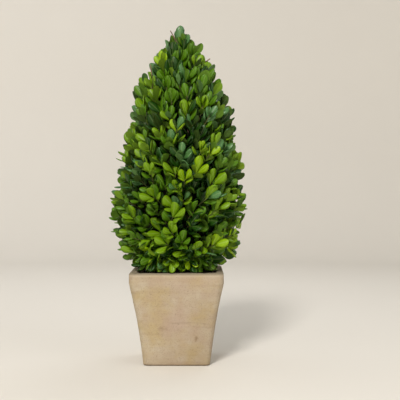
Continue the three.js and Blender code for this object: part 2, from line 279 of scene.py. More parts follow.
def noise(points, size, seed):
    """Smooth random numbers from -1 to 1. Each corner of a lattice of cubes has a random
    number, made by multiplying and folding its three whole numbers, and between the corners
    the numbers are blended by 3t^2 - 2t^3 along each axis."""
    scaled = points / size
    cell = np.floor(scaled)
    part = scaled - cell
    part = part * part * (3 - 2 * part)
    total = np.zeros(points.shape[:-1])
    for corner in np.ndindex(2, 2, 2):
        key = (cell + corner).astype(np.int64) * (374761393, 668265263, 2147483629)
        folded = (key.sum(-1) + seed * 974634777) & 0xFFFFFFFF
        folded = ((folded ^ (folded >> 13)) * 1274126177) & 0xFFFFFFFF
        value = (folded ^ (folded >> 16)) / 2147483648 - 1
        total += np.prod(np.where(corner, part, 1 - part), axis=-1) * value
    return total


def loft_faces(count, rows, around):
    """Faces of count closed skins. Each skin is rows rings of around points, counter-clockwise
    seen from past its last ring, then its first pole and its last pole. A triangle has -1 as
    its fourth corner."""
    ring = np.arange(around)
    following = (ring + 1) % around
    start = np.arange(rows - 1)[:, None] * around
    end = start + around
    quads = np.stack([start + ring, start + following, end + following, end + ring], -1)
    last = (rows - 1) * around
    none = np.full(around, -1)
    first_fan = np.stack([np.full(around, rows * around), following, ring, none], -1)
    last_fan = np.stack([np.full(around, rows * around + 1), last + ring, last + following, none], -1)
    faces = np.concatenate([quads.reshape(-1, 4), first_fan, last_fan])
    offset = np.arange(count)[:, None, None] * (rows * around + 2)
    return np.where(faces < 0, -1, faces + offset).reshape(-1, 4)


def loft(rings, first_pole, last_pole):
    """Points and faces of closed skins over rings of shape (count, rows, around, 3)."""
    count, rows, around, _ = rings.shape
    flat = rings.reshape(count, rows * around, 3)
    points = np.concatenate([flat, first_pole[:, None], last_pole[:, None]], 1).reshape(-1, 3)
    return points, loft_faces(count, rows, around)


def skin(rings, first_pole, last_pole):
    """Points and faces of one closed skin over rings of shape (rows, around, 3)."""
    return loft(rings[None], np.array([first_pole], float), np.array([last_pole], float))


def tubes(paths, radii, sides, reference):
    """Closed tubes of the given radii along paths of shape (count, rows, 3). A ring is the
    path's point + radius (cos a, sin a) in the plane square to the path, turned from each
    tube's own reference direction."""
    along = unit(np.gradient(paths, axis=1))
    across = unit(np.cross(np.broadcast_to(reference[:, None], along.shape), along))
    third = np.cross(along, across)
    turn = full_turn(sides)
    spoke = across[:, :, None] * np.cos(turn)[:, None] + third[:, :, None] * np.sin(turn)[:, None]
    rings = paths[:, :, None] + spoke * radii[:, :, None, None]
    dome = radii[:, -1:] * along[:, -1] * 0.6
    return loft(rings, paths[:, 0], paths[:, -1] + dome)


def grid_normals(rings):
    """The outward unit normal at each point of one skin of shape (rows, around, 3): the cross
    product of the step round the ring and the step to the next ring."""
    round_ring = np.roll(rings, -1, 1) - np.roll(rings, 1, 1)
    to_next = np.gradient(rings, axis=0)
    return unit(np.cross(round_ring, to_next) + 1e-12 * UP)


def make_piece(name, points, faces, materials, slot, replaced, kinds=None, flat=None):
    """Makes a mesh object at the origin that rides on the plant's one body, in place of one
    solid. kinds gives each face's material by number and flat says which are flat-shaded."""
    corners = faces >= 0
    loops = faces[corners]
    totals = corners.sum(1)
    mesh = bpy.data.meshes.new(name)
    mesh.vertices.add(len(points))
    mesh.vertices.foreach_set("co", np.ascontiguousarray(points, np.float32).ravel())
    mesh.loops.add(len(loops))
    mesh.loops.foreach_set("vertex_index", loops.astype(np.int32))
    mesh.polygons.add(len(totals))
    starts = np.concatenate([[0], np.cumsum(totals)[:-1]])
    mesh.polygons.foreach_set("loop_start", starts.astype(np.int32))
    smooth = np.ones(len(totals), bool) if flat is None else ~flat
    mesh.polygons.foreach_set("use_smooth", smooth)
    if kinds is not None:
        mesh.polygons.foreach_set("material_index", kinds.astype(np.int32))
    mesh.update(calc_edges=True)
    if mesh.validate():
        raise RuntimeError(f"the mesh of {name} had faces that don't hold")
    for material in materials:
        mesh.materials.append(material)
    piece = bpy.data.objects.new(name, mesh)
    bpy.context.scene.collection.objects.link(piece)
    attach(piece, "root")
    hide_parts(replaced)


# Materials


def node(tree, kind, inputs=None, **settings):
    """Adds a node with its settings. inputs gives a socket, by name or number, a value or
    another node's output."""
    made = tree.nodes.new(kind)
    for name, value in settings.items():
        setattr(made, name, value)
    for socket, value in (inputs or {}).items():
        if isinstance(value, bpy.types.NodeSocket):
            tree.links.new(value, made.inputs[socket])
        else:
            made.inputs[socket].default_value = value
    return made


def new_material(name):
    """An empty node material, its tree, its shader and its Object coordinates."""
    material = bpy.data.materials.new(name)
    material.use_nodes = True
    tree = material.node_tree
    tree.nodes.clear()
    shader = node(tree, "ShaderNodeBsdfPrincipled")
    node(tree, "ShaderNodeOutputMaterial", {"Surface": shader.outputs["BSDF"]})
    place = node(tree, "ShaderNodeTexCoord").outputs["Object"]
    return material, tree, shader, place


def rgba(value):
    """The colour with full alpha."""
    return (*value[:3], 1)


def paint(tree, shader, face, coats):
    """Links the shader's colour: the face, with each coat laid over it in turn. A coat is what it
    follows, its two limits, its strength at each of them and its colour. Returns the last mask."""
    face = rgba(face)
    for follows, low, high, first, last, shown in coats:
        limits = {"Value": follows, "From Min": low, "From Max": high, "To Min": first, "To Max": last}
        mask = node(tree, "ShaderNodeMapRange", limits).outputs[0]
        coat = {0: mask, MIX_A: face, MIX_B: rgba(shown)}
        face = node(tree, "ShaderNodeMix", coat, data_type="RGBA").outputs[MIX_RESULT]
    tree.links.new(face, shader.inputs["Base Color"])
    return mask


def roughen(tree, shader, height, relief, cloud, rough):
    """Links the shader's relief, with a strength and a distance, to a height, and its roughness,
    from one value to another, to a cloud. Stone, peat and bark refract light alike."""
    bump = {"Height": height, "Strength": relief[0], "Distance": relief[1]}
    bump = node(tree, "ShaderNodeBump", bump).outputs["Normal"]
    matt = node(tree, "ShaderNodeMapRange", {"Value": cloud, "To Min": rough[0], "To Max": rough[1]})
    tree.links.new(bump, shader.inputs["Normal"])
    tree.links.new(matt.outputs[0], shader.inputs["Roughness"])
    shader.inputs["IOR"].default_value = 1.5


def mottled_material(name, look, tones, limits, rough=0.5, gloss=0.5):
    """A material that noise mottles from its first tone to its second, and the parts to add
    to: its tree, shader and noise. The look is the noise's size in metres, its detail and
    roughness and how far it is drawn out up the height; the limits are the noise's two values
    and the second tone's full share; rough and gloss go on the shader."""
    material, tree, shader, place = new_material(name)
    size, detail, ragged, squeeze = look
    drawn = node(tree, "ShaderNodeMapping", {"Vector": place, "Scale": (1, 1, squeeze)}).outputs[0]
    look = {"Vector": drawn, "Scale": 1 / size, "Detail": detail, "Roughness": ragged}
    mottle = node(tree, "ShaderNodeTexNoise", look).outputs["Fac"]
    low, high, share = limits
    paint(tree, shader, tones[0], [(mottle, low, high, 0, share, tones[1])])
    shader.inputs["Roughness"].default_value = rough
    shader.inputs["Specular IOR Level"].default_value = gloss
    return material, tree, shader, mottle


def cast_stone_material(p):
    """Cast stone: sand, lime and stone dust rammed moist into a mould, then worn outdoors. To
    the eye that gives a matt, fine-grained face in warm sand, clouded with lime bloom, ochre
    and rosy sand, faintly lined where one rammed layer meets the next, pricked by small air
    pores, and darker towards the foot. The rim's top is grey, partly weathered and partly
    painted shade of the leaves over it. A painted highlight runs under the rim's edge, a painted
    contact shadow runs along the foot, and painted shade darkens the side away from the key
    light, low down."""
    material, tree, shader, place = new_material("cast_stone_rammed_and_worn")
    # Each cloud's size in metres, offset, detail and how much finer it is up the height. Sand
    # grains are 0.5 mm; they are drawn at 2 mm, because finer ones don't show. The moist mix goes
    # into the mould in layers, whose edges show as faint lines some 6 mm apart
    clouds = {}
    for name, size, offset, detail, squeeze in (
        ("bloom", 0.045, (0, 0, 0), 4, 1),
        ("ochre", 0.05, (0.31, 0.17, 0.05), 4, 1),
        ("rosy", 0.06, (0.12, 0.4, 0.21), 4, 1),
        ("layers", 0.05, (0, 0, 0), 3, 9),
        ("ragged", 0.006, (0, 0, 0), 4, 1),
        ("grain", 0.002, (0, 0, 0), 2, 1),
    ):
        moved = {"Vector": place, "Location": offset, "Scale": (1, 1, squeeze)}
        moved = node(tree, "ShaderNodeMapping", moved).outputs[0]
        look = {"Vector": moved, "Scale": 1 / size, "Detail": detail, "Roughness": 0.6}
        clouds[name] = node(tree, "ShaderNodeTexNoise", look).outputs["Fac"]
    height = node(tree, "ShaderNodeSeparateXYZ", {"Vector": place}).outputs["Z"]
    # Low on the front are a stain the size of a thumbnail and a wider scuff, both ragged
    for name, middle, reach in (
        ("stain", (0.0315, -0.062, 0.045), (0.007, 0.02, 0.008)),
        ("scuff", SCUFF, (0.017, 0.02, 0.009)),
    ):
        spot = {"Vector": place, "Location": middle, "Scale": reach}
        spot = node(tree, "ShaderNodeMapping", spot, vector_type="TEXTURE").outputs[0]
        spot = node(tree, "ShaderNodeTexGradient", {"Vector": spot}, gradient_type="SPHERICAL")
        spot = {0: spot.outputs["Fac"], 1: clouds["ragged"]}
        clouds[name] = node(tree, "ShaderNodeMath", spot, operation="MULTIPLY").outputs[0]
    # Painted shade: the stone darkens to the right and low down, on the side away from the key light
    painted_side_shade = {0: place, 1: (1, 0, -0.75)}
    painted_side_shade = node(tree, "ShaderNodeVectorMath", painted_side_shade, operation="DOT_PRODUCT").outputs["Value"]
    pores = node(tree, "ShaderNodeTexVoronoi", {"Vector": place, "Scale": 1 / 0.011})
    # Each coat: what it follows, from and to which value, how strong it is there, its colour
    band = p.height - p.rim_band
    coats = (
        (clouds["bloom"], 0.42, 0.68, 0, 1, p.pale),
        (clouds["ochre"], 0.45, 0.62, 0, 0.75, p.ochre),
        (clouds["rosy"], 0.45, 0.65, 0, 0.75, p.rosy),
        (clouds["layers"], 0.5, 0.7, 0, 0.15, p.stain),
        (clouds["stain"], 0.15, 0.42, 0, 0.8, p.stain),
        (clouds["scuff"], 0.2, 0.45, 0, 0.45, p.stain),
        # Painted shade, low down on the right, away from the key light
        (painted_side_shade, -0.06, 0.04, 0, 0.4, p.stain),
        (clouds["grain"], 0.5, 0.8, 0, 0.4, p.pore_and_contact_shadow),
        (height, band, band + 0.004, 0, 0.15, p.stain),
        # Painted highlight: a pale line just under the rim's rounded edge
        (height, p.height - 0.0068, p.height - 0.0042, 0, 0.3, p.pale),
        # The rim's top: grey, partly weathered stone and partly painted shade of the leaves over it
        (height, p.height - 0.0038, p.height - 0.0018, 0, 0.9, p.grey),
        # Darker towards the foot, and a painted contact shadow: a dark line along its lowest few
        # millimetres
        (height, 0.0, 0.010, 0.22, 0, p.stain),
        (height, 0.0008, 0.0030, 0.8, 0, p.pore_and_contact_shadow),
        (pores.outputs["Distance"], 0.04, 0.11, 0.45, 0, p.pore_and_contact_shadow),
    )
    last_mask = paint(tree, shader, p.sand, coats)
    # The last mask is the pores': they and the grains roughen the face
    relief = node(tree, "ShaderNodeMath", {0: clouds["grain"], 1: last_mask}, operation="SUBTRACT")
    roughen(tree, shader, relief.outputs[0], (0.35, 0.0006), clouds["bloom"], (0.82, 0.96))
    shader.inputs["Specular IOR Level"].default_value = 0.3
    return material


def potting_mix_material(s):
    """Potting mix: sieved peat with composted bark. Damp crumbs, near black, with brown
    flakes among them."""
    material, tree, shader, place = new_material("potting_mix_sieved")
    flakes = node(tree, "ShaderNodeTexVoronoi", {"Vector": place, "Scale": 1 / 0.004})
    crumbs = {"Vector": place, "Scale": 1 / 0.0025, "Detail": 4, "Roughness": 0.7}
    crumbs = node(tree, "ShaderNodeTexNoise", crumbs).outputs["Fac"]
    paint(tree, shader, s.peat, [(flakes.outputs["Color"], 0.6, 0.9, 0, 0.7, s.bark)])
    roughen(tree, shader, crumbs, (0.8, 0.001), crumbs, (0.75, 1))
    return material


def bark_material(s):
    """Boxwood bark: it dries and splits as the stem thickens. Corky, matt, grey-brown ridges
    that run up the stem, with dark cracks between them."""
    look, tones = (0.003, 5, 0.65, 0.25), (s.crack, s.ridge)
    parts = mottled_material("boxwood_bark_split", look, tones, (0.38, 0.62, 1))
    material, tree, shader, ridges = parts
    roughen(tree, shader, ridges, (0.7, 0.001), ridges, (0.95, 0.75))
    return material


def shoot_material(s):
    """The skin of young boxwood twigs: green, and streaked with the bark that is to come."""
    look, tones = (0.006, 3, 0.6, 1), (s.shoot, s.ridge)
    return mottled_material("boxwood_green_twig", look, tones, (0.4, 0.7, 0.5), 0.55)[0]


def shade_material(c):
    """The massed leaves and twigs deep in a clipped crown, which the light hardly reaches:
    dull, and mottled from black-green to brown. Their near-black tones are painted shade."""
    look, tones = (0.012, 3, 0.6, 1), (c.shade, c.shade_brown)
    return mottled_material("boxwood_inner_shade", look, tones, (0.4, 0.65, 1), 1, 0.05)[0]


def paper_material(g):
    """Matt pale paper: a plain sweep with the faintest mottle."""
    look, tones = (0.3, 2, 0.5, 1), (g.wall, g.mottle)
    return mottled_material("paper_sweep_matt", look, tones, (0, 1, 0.06), 0.9, 0.2)[0]


def leaf_materials(name, value):
    """A boxwood leaf: leathery and evergreen. Its upper side is waxed to a satin gloss, its
    underside is paler, yellower and matt, and its midrib is a fine pale line."""
    made = []
    underside = [mix(v, u, 0.16) for v, u in zip(value, linear("#8DA552"))]
    gloss = 0.5 if name == "blue" else 0.26  # the waxy bloom shows as a grey sheen
    midrib = [mix(v, u, 0.14) for v, u in zip(value, linear("#B4C27A"))]
    sides = (("upper", value, 0.38), ("under", underside, 0.65), ("midrib", midrib, 0.5))
    for side, shown, rough in sides:
        material, _, shader, _ = new_material(f"boxwood_leaf_{name}_{side}")
        shader.inputs["Base Color"].default_value = rgba(shown)
        shader.inputs["Roughness"].default_value = rough
        shader.inputs["Specular IOR Level"].default_value = gloss
        shader.inputs["IOR"].default_value = 1.45
        made.append(material)
    return made


# Planter, soil, stem


def square_section(count, corner_share):
    """The outline of a square one unit wide with round corners, as count points evenly spaced
    along it: quarter circles round the four corners' centres, joined by straight sides."""
    steps = 16
    reach = 0.5 - corner_share
    corner = np.repeat(np.arange(4), steps)
    bend = np.tile(np.arange(steps) / (steps - 1), 4)
    turn = (corner + bend) * math.pi / 2
    middle = (corner + 0.5) * math.pi / 2
    x = reach * np.sign(np.cos(middle)) + corner_share * np.cos(turn)
    y = reach * np.sign(np.sin(middle)) + corner_share * np.sin(turn)
    x, y = np.append(x, x[0]), np.append(y, y[0])
    length = np.concatenate([[0], np.cumsum(np.hypot(np.diff(x), np.diff(y)))])
    wanted = np.arange(count) / count * length[-1]
    return np.stack([np.interp(wanted, length, x), np.interp(wanted, length, y)], -1)


def planter_width(z, p):
    """The outer width at height z: a straight taper from the base to the foot of the rim band,
    less 2 bow sin(pi share), and upright above it."""
    share = np.clip(z / (p.height - p.rim_band), 0, 1)
    return mix(p.base_width, p.top_width, share) - 2 * p.bow * np.sin(math.pi * share)


def planter_rings(z, inset, count, p):
    """Rings of the planter's section at heights z, drawn in from its outer face by inset. The
    section's corners are rounder by smoothstep from the outer face in to the wall's inner one."""
    outer = square_section(count, p.corner_radius / p.top_width)
    inner = square_section(count, p.mouth_corner / (p.top_width - 2 * p.wall))
    section = mix(outer, inner, smoothstep(inset, 0, p.wall)[:, None, None])
    width = planter_width(z, p) - 2 * inset
    flat = section * width[:, None, None]
    return np.concatenate([flat, np.broadcast_to(z[:, None, None], (len(z), count, 1))], -1)


def rim_edge(inset, side, p):
    """A quarter circle of the rim's radius, as heights and insets, from the upright face up to
    the flat top."""
    turn = np.linspace(0, math.pi / 2, 8)
    z = p.height - p.rim_round * (1 - np.sin(turn))
    return z, inset + side * p.rim_round * (1 - np.cos(turn))


def planter_relief(points, normals, p):
    """How far each point of the stone moves out: slow, medium and gritty unevenness; bites out
    of the edges where they are sharp; round pits; and one shallow scrape on the front."""
    slow, medium, gritty = noise(points, 0.034, 3), noise(points, 0.011, 4), noise(points, 0.0035, 5)
    relief = p.unevenness * (0.6 * slow + 0.3 * medium + 0.22 * gritty)
    x, z = points[..., 0], points[..., 2]
    half = planter_width(z, p) / 2
    from_axes = np.abs(points[..., :2])
    edge, brink = 0.006, 0.002
    outside = (from_axes.max(-1) > half - edge) | (z > p.height - brink)
    near_corner = smoothstep(from_axes.min(-1), half * 0.8, half * 0.93)
    near_rim = smoothstep(z, p.height - edge, p.height - brink)
    near_foot = 1 - smoothstep(z, 0.001, 0.007)
    sharp = np.maximum(np.maximum(near_rim, near_foot), 0.8 * near_corner)
    large_bites = smoothstep(noise(points, 0.009, 6), 0.25, 0.75)
    small_bites = smoothstep(noise(points, 0.004, 7), 0.3, 0.8)
    relief = relief - p.wear * 0.6 * sharp * (large_bites + 0.5 * small_bites)
    rng = np.random.default_rng(SEEDS["pits"])
    outer = points[outside].reshape(-1, 3)
    pits = outer[rng.integers(0, len(outer), p.pits)]
    front = outer[outer[:, 1] < -0.05]
    scuff_radius = 0.014
    scuffed = front[np.hypot(front[:, 0] - SCUFF[0], front[:, 2] - SCUFF[2]) < scuff_radius]
    pits = np.concatenate([pits, scuffed[rng.integers(0, len(scuffed), p.scuff_pits)]])
    least, most, most_in_scuff = 0.0009, 0.0026, 0.0019
    radii = [rng.uniform(least, most, p.pits), rng.uniform(least, most_in_scuff, p.scuff_pits)]
    for middle, radius in zip(pits, np.concatenate(radii)):
        near = np.clip(1 - ((points - middle) ** 2).sum(-1) / radius**2, 0, 1)
        relief = relief - 0.45 * radius * near**2
    left, right, depth, half_width = -0.014, 0.062, 0.0005, 0.0011
    scrape_z = 0.0665 + 0.004 * np.cos((x - 0.02) / 0.04 * 1.6)
    scraped = (normals[..., 1] < -0.9) & (x > left) & (x < right)
    relief = relief - depth * scraped * np.clip(1 - ((z - scrape_z) / half_width) ** 2, 0, 1)
    return np.where(outside, relief, 0.3 * relief)


class TOPIARY_OT_planter(bpy.types.Operator):
    """Make the cast-stone planter: its square section carried up the outside, over the rim and
    down the inside to the floor"""

    bl_idname = "topiary.planter"
    bl_label = "Planter"

    def execute(self, context):
        p = context.scene.topiary_planter
        top, edge, half = p.height - p.rim_band, p.height - p.rim_round, p.base_width / 2
        under = np.linspace(0.12, 1, 8)[:-1]
        # The section from the middle of the underside, up, over the rim and down to the floor, as
        # stretches of heights and insets
        stretches = (
            (0, half * (1 - under * (1 - p.base_bevel / half))),
            (0, np.full(1, p.base_bevel)),
            (np.linspace(p.base_bevel, top, 88), 0),
            (np.linspace(top, edge, 11)[1:-1], 0),
            rim_edge(0, 1, p),
            (p.height, np.linspace(p.rim_round, p.wall - p.rim_round, 7)[1:-1]),
            [line[::-1] for line in rim_edge(p.wall, -1, p)],
            (np.linspace(edge, p.floor, 22)[1:], p.wall),
            (p.floor, np.linspace(p.wall, planter_width(p.floor, p) / 2 * 0.9, 6)[1:]),
        )
        section = np.concatenate([np.stack(np.broadcast_arrays(*pair), -1) for pair in stretches])
        rings = planter_rings(section[:, 0], section[:, 1], 400, p)
        normals = grid_normals(rings)
        relief = planter_relief(rings, normals, p)
        standing = rings[..., 2] < 0.5 * MM  # the face that it stands on stays flat
        rings = rings + normals * np.where(standing, 0, relief)[..., None]
        rings[..., 2] = np.maximum(rings[..., 2], 0)
        points, faces = skin(rings, (0, 0, 0), (0, 0, p.floor))
        make_piece("planter_stone", points, faces, [cast_stone_material(p)], "cast_stone", "planter")
        return {"FINISHED"}


class TOPIARY_OT_soil(bpy.types.Operator):
    """Make the potting mix: a body that fills the planter up to a low dome of crumbs"""

    bl_idname = "topiary.soil"
    bl_label = "Potting mix"

    def execute(self, context):
        p, s = context.scene.topiary_planter, context.scene.topiary_soil
        wall = p.wall + FIT_GAP
        top = p.height - s.drop
        sides = np.linspace(p.floor + FIT_GAP, top - s.dome, 16)
        half = planter_width(top, p) / 2
        over = np.linspace(wall, half * 0.97, 60)[1:]
        places = [wall, wall + s.slope, wall + s.gentle_slope]
        climb = np.interp(over, places, [top - s.dome, top - s.dome * s.gentle_share, top])
        z = np.concatenate([sides, climb])
        rings = planter_rings(z, np.concatenate([np.full(len(sides), wall), over]), 240, p)
        crumbs = noise(rings, s.crumb, 11) * 0.26 + noise(rings, s.crumb * 0.45, 12) * 0.16
        crumbs = crumbs * s.crumb
        rings[..., 2] += crumbs * smoothstep(rings[..., 2], top - s.dome - 0.001, top - s.dome * 0.6)
        points, faces = skin(rings, (0, 0, p.floor + FIT_GAP), (0, 0, top))
        make_piece("potting_mix_fill", points, faces, [potting_mix_material(s)], "potting_mix", "soil")
        return {"FINISHED"}


def stem_foot(scene):
    """The height at which the stem stands on the soil."""
    return scene.topiary_planter.height - scene.topiary_soil.drop + FIT_GAP


class TOPIARY_OT_stem(bpy.types.Operator):
    """Make the short main stem: a leaning, tapering tube with a root flare and split bark"""

    bl_idname = "topiary.stem"
    bl_label = "Stem"

    def execute(self, context):
        s = context.scene.topiary_stem
        share = np.linspace(0, 1, 110)
        rise = share * s.height
        middle = np.stack([s.lean * share**2, 0 * share, stem_foot(context.scene) + rise], -1)
        flare = 1 + s.flare * np.exp(-rise / s.flare_height)
        radius = mix(s.foot_radius, s.tip_radius, share) * flare
        turn = full_turn(96)
        spoke = spokes(turn)
        grain = 0.22  # the bark's cracks are drawn out up the stem
        around = spoke[None] * s.foot_radius + middle[:, None] * (0, 0, grain)
        split = np.abs(noise(around, 0.0034, 21)) * 2 - 1 + 0.4 * noise(around, 0.0016, 22)
        lobes = 0.12 * np.cos(5 * turn)[None] * np.exp(-rise / s.flare_height / 2)[:, None]
        reach = radius[:, None] * (1 + lobes - 0.12) + s.fissure * 0.5 * split
        rings = middle[:, None] + spoke[None] * reach[..., None]
        points, faces = skin(rings, middle[0], middle[-1])
        make_piece("stem_bark", points, faces, [bark_material(s)], "bark", "stem")
        return {"FINISHED"}


# Crown


def outline_radius(z, c):
    """The clipped outline's radius at height z: a quarter ellipse from the bottom edge to the
    widest place, and above it widest (1 - rise^shoulder)^tip_curve, which closes at the tip."""
    down = np.clip((c.widest_height - z) / (c.widest_height - c.bottom), 0, 1)
    rise = np.clip((z - c.widest_height) / (c.closing_height - c.widest_height), 0, 1)
    lower = c.bottom_radius + (c.widest_radius - c.bottom_radius) * np.sqrt(1 - down**2)
    upper = c.widest_radius * (1 - rise**c.shoulder) ** c.tip_curve
    return np.where(z < c.widest_height, lower, upper)


def swell_at(turn, z):
    """How far the outline swells out at a turn round the axis and a height: the sum of bells,
    each depth times e^-(height off / reach)^2 e^(focus (cos(turn off) - 1))."""
    total = np.zeros(np.broadcast(turn, z).shape)
    for degrees, height, depth in SWELLS:
        off_turn = np.cos(turn - math.radians(degrees)) - 1
        total += depth * MM * np.exp(SWELL_FOCUS * off_turn - ((z - height * MM) / SWELL_REACH) ** 2)
    return total


def outline_at(share, c):
    """The outline's radius and height for a share from 0 at its bottom edge to 1 at the tip. The
    height goes from the one to the other as (1 - cos(pi share)) / 2."""
    z = mix(c.bottom, c.total_height, (1 - np.cos(math.pi * np.clip(share, 0, 1))) / 2)
    return np.stack([outline_radius(z, c), z], -1)


def outward_at(share, c):
    """The outline's outward direction there, as radius and height: square to a short chord."""
    chord = outline_at(share + 0.01, c) - outline_at(share - 0.01, c)
    return unit(np.stack([chord[..., 1], -chord[..., 0]], -1))


def lean_at(z, c):
    """How far the crown's middle lies to the side of the axis at height z: an even lean, and a
    bell-shaped bulge round the bulge height."""
    bulge = c.side_bulge * np.exp(-(((z - c.bulge_height) / 0.06) ** 2))
    return c.lean * smoothstep(z, c.bottom, c.total_height) + bulge


def even_shares(count, c):
    """Shares of the outline that part it into bands of equal area."""
    share = np.linspace(0, 1, 601)
    place = outline_at(share, c)
    step = np.diff(place, axis=0)
    area = (place[1:, 0] + place[:-1, 0]) / 2 * np.hypot(step[:, 0], step[:, 1])
    total = np.concatenate([[0], np.cumsum(area)])
    return np.interp((np.arange(count) + 0.5) / count * total[-1], total, share)


def side_of(direction):
    """A direction square to each direction."""
    return unit(np.cross(direction[:, [2, 0, 1]], direction))


def skirt_reach(turn, c):
    """How far from the axis the lowest leaves reach at a turn round it: the skirt radius times
    1 + corner sin(2 turn)^2, which follows the planter's square rim."""
    return c.skirt_radius * (1 + c.skirt_corner * np.sin(2 * turn) ** 2)


def grow_shoots(c, f):
    """All shoots as arrays: where each one's topmost leaves end, its direction, the light that
    its leaves turn to, its leaves' size and spread, and its tint. A shoot on the flank stands at
    a share of the outline and a golden angle further round than the last. Its direction is the
    outline's outward one plus a lift, which grows from the bottom edge to the tip. Those of the
    skirt hang outwards in three rows round the bottom edge, and the leader stands at the tip."""
    rng = np.random.default_rng(SEEDS["shoots"])
    n = f.flank_count
    share = even_shares(n, c) + rng.uniform(-0.006, 0.006, n)
    turn = np.arange(n) * GOLDEN_ANGLE + rng.uniform(-0.07, 0.07, n)
    around = spokes(turn)
    sideways = np.stack([-np.sin(turn), np.cos(turn), 0 * turn], -1)
    outward = outward_at(share, c)
    place = outline_at(share, c)
    tufts = f.tuft * noise(around * place[:, :1] + UP * place[:, 1:], 0.045, 8)
    tufts = tufts + swell_at(turn, place[:, 1])
    sunk = rng.random(n) ** 1.5
    near_tip = smoothstep(place[:, 1], c.widest_height, c.total_height)
    proud = f.proud * (1 - 0.2 * near_tip)
    place = place + outward * (proud + tufts - f.deepest * (1 - 0.6 * near_tip) * sunk)[:, None]
    height = place[:, 1]
    end = around * place[:, :1]
    end[:, 0] += lean_at(height, c)
    end[:, 2] = height
    risen = smoothstep(height, c.bottom, c.bottom + f.lift_height)
    topped = smoothstep(height, c.widest_height, c.total_height)
    lift = mix(f.bottom_lift, f.lift, risen) + f.tip_lift * topped
    direction = around * outward[:, :1] + UP * (outward[:, 1] + lift)[:, None]
    direction += UP * f.wander * rng.uniform(-1, 1, (n, 1))
    direction = unit(direction + sideways * f.wander * rng.uniform(-1, 1, (n, 1)))
    direction[:, 2] = np.maximum(direction[:, 2], -f.droop)
    direction = unit(direction)
    light = unit(around + UP * f.skyward + direction)
    spread = mix(f.spread, f.tip_spread, topped)

    k = f.skirt_count
    turn = full_turn(k) + rng.uniform(-0.06, 0.06, k)
    around = spokes(turn)
    row = (np.arange(k) % 3)[:, None]
    skirt_end = around * (skirt_reach(turn, c)[:, None] - rng.uniform(0.001, 0.011, (k, 1)))
    skirt_end += UP * (rng.uniform(*SKIRT_ENDS, (k, 1)) + SKIRT_ROW * row)
    fall = rng.uniform(0.35, 0.85, (k, 1)) - 0.1 * row
    skirt_direction = unit(around - UP * fall)

    leader = np.array([[c.lean, 0, c.total_height + 0.005]])
    end = np.concatenate([end, skirt_end, leader])
    direction = np.concatenate([direction, skirt_direction, unit(np.array([[0.03, 0, 1]]))])
    light = np.concatenate([light, unit(around + 0.7 * UP), unit(np.array([[0.1, -1, 0.2]]))])
    spread = np.concatenate([spread, np.full(k, f.spread), [0.12]])
    topped = np.concatenate([topped, np.zeros(k), [1]])
    size = mix(f.low_size, 1, topped) * (1 + f.size_spread * rng.uniform(-1, 1, n + k + 1))
    sunk = np.concatenate([sunk, 0.3 * rng.random(k), [0]])
    # Age is mostly chance, and older shoots get darker tints. Those of the skirt are older, and
    # the skirt's leaves are larger. Shoots that the shears sank, and those near the tip, are
    # darker, partly as older leaves and partly as painted shade: of the sunk ones' depth, and
    # on the tip against the strong light from above
    age_and_painted_shade = 0.85 * rng.random(n + k + 1) + 0.55 * sunk + 0.15 * noise(end, 0.05, 9)
    on_skirt = slice(n, n + k)
    age_and_painted_shade[on_skirt] += 0.4
    age_and_painted_shade[:n] += 0.1 * topped[:n]
    size[on_skirt] *= 1.3
    tint = np.digitize(age_and_painted_shade, f.ages)
    waxy_share = 0.06 + 0.12 * topped
    waxy = (rng.random(n + k + 1) < waxy_share) & (tint > 0)
    waxy[-1] = True
    tint = np.where(waxy, TINTS.index("blue"), tint)
    size[-1] = 1
    names = ("end", "direction", "light", "spread", "size", "tint", "topped", "sunk")
    return dict(zip(names, (end, direction, light, spread, size, tint, topped, sunk)))


def leaf_grid(rows, across):
    """A leaf as a closed thin blade, made of a ring of points for each row of s, which runs from
    the foot of its stalk to its tip. A ring has a point of the upper side at each v of across,
    from -1 to 1, and one more under the midrib. Returns s and v, which points are under the
    midrib, the faces, and each face's kind: 0 for the upper side, 1 for the underside and 2 for
    the strip of the midrib."""
    s = np.append(np.repeat(rows, len(across) + 1), [0, 1])
    v = np.append(np.tile([*across, 0], len(rows)), [0, 0])
    under = np.append(np.tile([False] * len(across) + [True], len(rows)), [False, False])
    kinds = [2 if left == -right else 0 for left, right in zip(across, across[1:])] + [1, 1]
    faces = loft_faces(1, len(rows), len(across) + 1)
    return s, v, under, faces, np.tile(kinds, len(rows) + 1)


def leaf_half_width(s, belly):
    """Half the blade's width as a share of its width, at s from stalk to tip: a narrow stalk,
    then sin(pi q^belly)^(1 - q / 2) / 2. The belly puts the widest place towards the tip, as on
    a spoon, and the falling power makes the foot a wedge and the tip round."""
    q = np.clip((s - 0.1) / 0.9, 0, 1)
    blade = 0.5 * np.sin(math.pi * q ** belly[:, None]).clip(0) ** (1 - q / 2)
    return np.maximum(0.045 * (s > 0) * (s < 1), blade)


def leaf_surface(s, v, under, leaves, thickness):
    """Points of shape (leaves, points, 3). Across a leaf, x is v times the half width; along it,
    y is s length; and z bulges on each side of the sunk midrib as cup (1.2|v| - 2 v^2), less
    curl s^2 along the leaf. The underside lies a thickness lower."""
    along, normal = leaves["along"], leaves["normal"]
    across = np.cross(along, normal)
    length, width, cup, curl = (leaves[k][:, None] for k in ("length", "width", "cup", "curl"))
    half = leaf_half_width(s, leaves["belly"])
    x = v * half * width
    y = s * length * (1 - 0.12 * np.abs(curl) * s)
    fold = 1.2 * np.abs(v) - 2 * v**2
    z = cup * fold * half * width - curl * s**2 * length
    z = z - under * thickness * np.sin(math.pi * s)
    points = leaves["node"][:, None]
    for reach, way in ((x, across), (y, along), (z, normal)):
        points = points + reach[..., None] * way[:, None]
    return points


